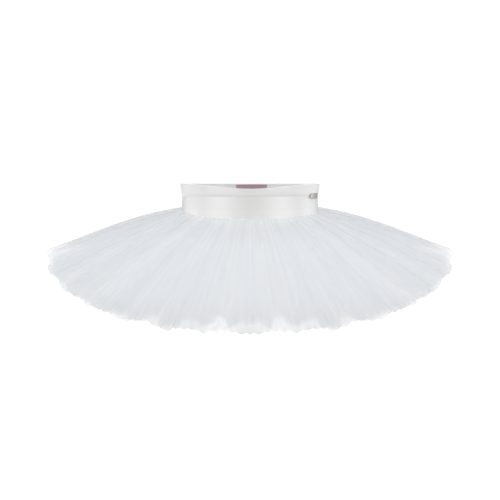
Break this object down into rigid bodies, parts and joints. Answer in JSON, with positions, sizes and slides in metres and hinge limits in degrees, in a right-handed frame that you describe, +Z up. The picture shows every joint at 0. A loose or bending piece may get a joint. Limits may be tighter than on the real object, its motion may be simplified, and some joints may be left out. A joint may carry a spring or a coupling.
{
  "type": "ballet tutu",
  "caption": "Practice tutu with an open stretch waistband and basque, and a wide, nearly flat skirt of gathered tulle layers.",
  "frame": {"origin": "centre of the waistband's top edge, where the wearer's waist holds the garment", "axes": "+Z up out of the waist, -Y towards the garment's front, +X towards the wearer's left"},
  "size_m": [0.8222, 0.7164, 0.2391],
  "materials": {
    "elastic_casing": "soft satin knit over elastic, white",
    "stretch_knit": "smooth stretch knit with a slight sheen, white",
    "tulle": "fine stiff net, cool white, see-through where it is one ply",
    "woven_label": "plain woven satin, dusty mauve",
    "pewter": "fine brushed, warm grey"
  },
  "bodies": {
    "root": {"waistband_casing": "elastic_casing", "basque": "stretch_knit", "tulle_layer_1_top": "tulle", "tulle_layer_2": "tulle", "tulle_layer_3": "tulle", "tulle_layer_4": "tulle", "tulle_layer_5": "tulle", "label": "woven_label", "side_plate": "pewter"}
  },
  "joints": []
}
